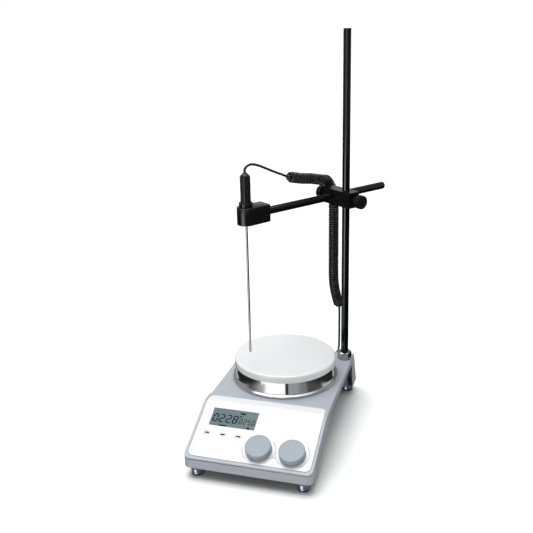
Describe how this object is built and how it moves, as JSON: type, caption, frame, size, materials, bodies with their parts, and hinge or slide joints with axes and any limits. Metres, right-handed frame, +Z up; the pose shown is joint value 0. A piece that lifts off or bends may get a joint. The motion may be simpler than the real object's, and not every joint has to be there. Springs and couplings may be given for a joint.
{
  "type": "magnetic stirrer",
  "caption": "Hotplate stirrer: sloping control panel with display, keys and knobs, round plate on a polished skirt, support rod, boss head and clamped sensor on a curly cord.",
  "frame": {"origin": "on the bench, under the axis of the round plate and its drive", "axes": "+Z up along the plate's axis; +Y from the control panel to the rear wall; +X to the right of someone who faces the control panel"},
  "size_m": [0.1858, 0.3292, 0.509],
  "materials": {
    "shell": "satin powder coat, light grey",
    "slate": "satin powder coat, slate grey",
    "overlay": "smooth printed film, white",
    "window": "smooth display window, grey green",
    "board": "circuit board",
    "module": "dark moulding",
    "metal": "turned and brushed steel",
    "knob": "fine satin, grey blue",
    "key": "satin, white",
    "black": "satin, black",
    "rod": "gloss black",
    "cast": "satin black on a casting",
    "foot": "satin, blue grey",
    "pad": "soft rubber",
    "chrome": "polished",
    "plate": "smooth white glaze",
    "pillar": "unglazed",
    "insulation": "pressed sheet",
    "heater": "mica and foil",
    "alloy": "satin",
    "magnet": "nickel plated",
    "case": "painted laminations",
    "cord": "soft jacket, black"
  },
  "bodies": {
    "base": {"housing": "shell", "lower_case": "slate", "bottom_cover": "slate", "cover_screws": "metal", "feet": "foot", "foot_pads": "pad", "foot_screws": "metal", "bezel": "shell", "overlay": "overlay", "display_window": "window", "display_module": "module", "control_board": "board", "key_switches": "module", "heat_encoder": "metal", "speed_encoder": "metal", "status_light": "key", "rear_panel": "slate", "power_inlet": "black", "inlet_pins": "metal", "rocker_frame": "black", "sensor_socket": "alloy", "power_board": "board", "power_supply": "module", "board_pillars": "metal", "motor_bracket": "metal", "motor_housing": "case", "motor_bearings": "metal", "plate_skirt": "chrome", "plate_pillars": "pillar", "insulation_disc": "insulation", "heater_ring": "heater", "heating_plate": "plate", "rod_washer": "alloy", "rod_nut": "metal", "cord_tail": "cord", "sensor_plug": "black"},
    "rotor": {"motor_shaft": "metal", "magnet_carrier": "alloy", "drive_magnets": "magnet"},
    "heat_control": {"heat_knob": "knob", "heat_shaft": "metal"},
    "speed_control": {"speed_knob": "knob", "speed_shaft": "metal"},
    "left_key": {"key_left": "key"},
    "middle_key": {"key_middle": "key"},
    "right_key": {"key_right": "key"},
    "rocker": {"power_rocker": "black"},
    "drawer": {"fuse_drawer": "black"},
    "rod": {"support_rod": "rod", "cord_coil_drop": "cord"},
    "boss": {"boss_head": "cast", "cord_coil_top": "cord"},
    "rod_thumb": {"rod_screw": "black"},
    "arm_thumb": {"arm_screw": "black"},
    "arm": {"cross_rod": "rod", "sensor_clamp": "cast"},
    "sensor": {"sensor_probe": "metal", "sensor_collar": "black", "sensor_handle": "black", "cord_lead": "cord"}
  },
  "joints": [
    {"name": "drive_spin", "type": "hinge", "parent": "base", "child": "rotor", "pos_m": [0, 0, 0.05], "axis": [0, 0, 1], "continuous": true},
    {"name": "heat_turn", "type": "hinge", "parent": "base", "child": "heat_control", "pos_m": [0.009, -0.15223, 0.03781], "axis": [0, -0.4125, 0.911], "continuous": true},
    {"name": "speed_turn", "type": "hinge", "parent": "base", "child": "speed_control", "pos_m": [0.0505, -0.15223, 0.03781], "axis": [0, -0.4125, 0.911], "continuous": true},
    {"name": "left_press", "type": "slide", "parent": "base", "child": "left_key", "axis": [0, 0.4125, -0.911], "range_m": [0, 0.0004], "stiffness_N_per_m": 400, "springref_m": -0.0008},
    {"name": "middle_press", "type": "slide", "parent": "base", "child": "middle_key", "axis": [0, 0.4125, -0.911], "range_m": [0, 0.0004], "stiffness_N_per_m": 400, "springref_m": -0.0008},
    {"name": "right_press", "type": "slide", "parent": "base", "child": "right_key", "axis": [0, 0.4125, -0.911], "range_m": [0, 0.0004], "stiffness_N_per_m": 400, "springref_m": -0.0008},
    {"name": "rocker_tip", "type": "hinge", "parent": "base", "child": "rocker", "pos_m": [-0.002, 0.09349, 0.0354], "axis": [0, -0.3714, 0.9285], "range_deg": [0, 20]},
    {"name": "drawer_pull", "type": "slide", "parent": "base", "child": "drawer", "axis": [0, 0.9285, 0.3714], "range_m": [0, 0.012]},
    {"name": "arm_swivel", "type": "hinge", "parent": "base", "child": "rod", "pos_m": [0.067, 0.07, 0.3], "axis": [0, 0, 1], "range_deg": [-45, 45], "deforming": ["cord_tail"]},
    {"name": "boss_height", "type": "slide", "parent": "rod", "child": "boss", "axis": [0, 0, 1], "range_m": [-0.014, 0.19], "deforming": ["cord_coil_drop"]},
    {"name": "rod_screw_turn", "type": "hinge", "parent": "boss", "child": "rod_thumb", "pos_m": [0.08601, 0.05619, 0.293], "axis": [0.809, -0.5878, 0], "range_deg": [0, 360]},
    {"name": "arm_screw_turn", "type": "hinge", "parent": "boss", "child": "arm_thumb", "pos_m": [0.03464, 0.09351, 0.293], "axis": [-0.809, 0.5878, 0], "range_deg": [0, 360]},
    {"name": "arm_slide", "type": "slide", "parent": "boss", "child": "arm", "axis": [0.5878, 0.809, 0], "range_m": [-0.04, 0.06], "deforming": ["cord_coil_top"]},
    {"name": "sensor_lift", "type": "slide", "parent": "arm", "child": "sensor", "axis": [0, 0, 1], "range_m": [0, 0.06], "deforming": ["cord_lead"]}
  ]
}
